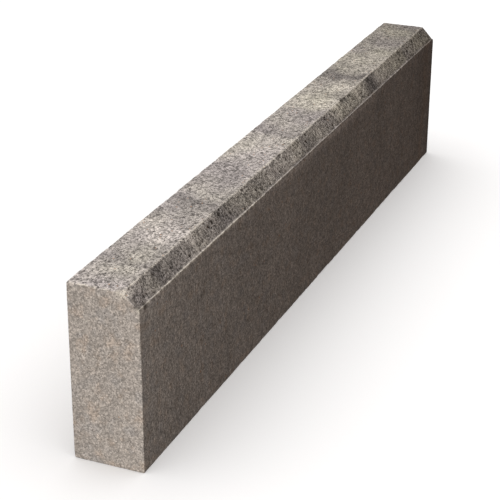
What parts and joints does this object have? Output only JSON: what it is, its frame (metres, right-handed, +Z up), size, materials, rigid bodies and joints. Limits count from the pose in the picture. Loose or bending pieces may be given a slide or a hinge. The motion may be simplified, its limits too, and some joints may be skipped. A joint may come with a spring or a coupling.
{
  "type": "kerb stone",
  "caption": "Straight concrete kerb stone of upright rectangular section, with a bevel and a narrow ledge along its front top edge; it edges a path or a bed.",
  "frame": {"origin": "centre of the bed, the flat bottom face that the stone stands on", "axes": "+X along the stone's length, +Y from the bevelled front to the plain back, so the bevel looks towards -Y and +Z; +Z up from the bed to the top"},
  "size_m": [1, 0.08, 0.2],
  "materials": {
    "concrete": "matte"
  },
  "bodies": {
    "root": {"kerb_stone": "concrete"}
  },
  "joints": []
}
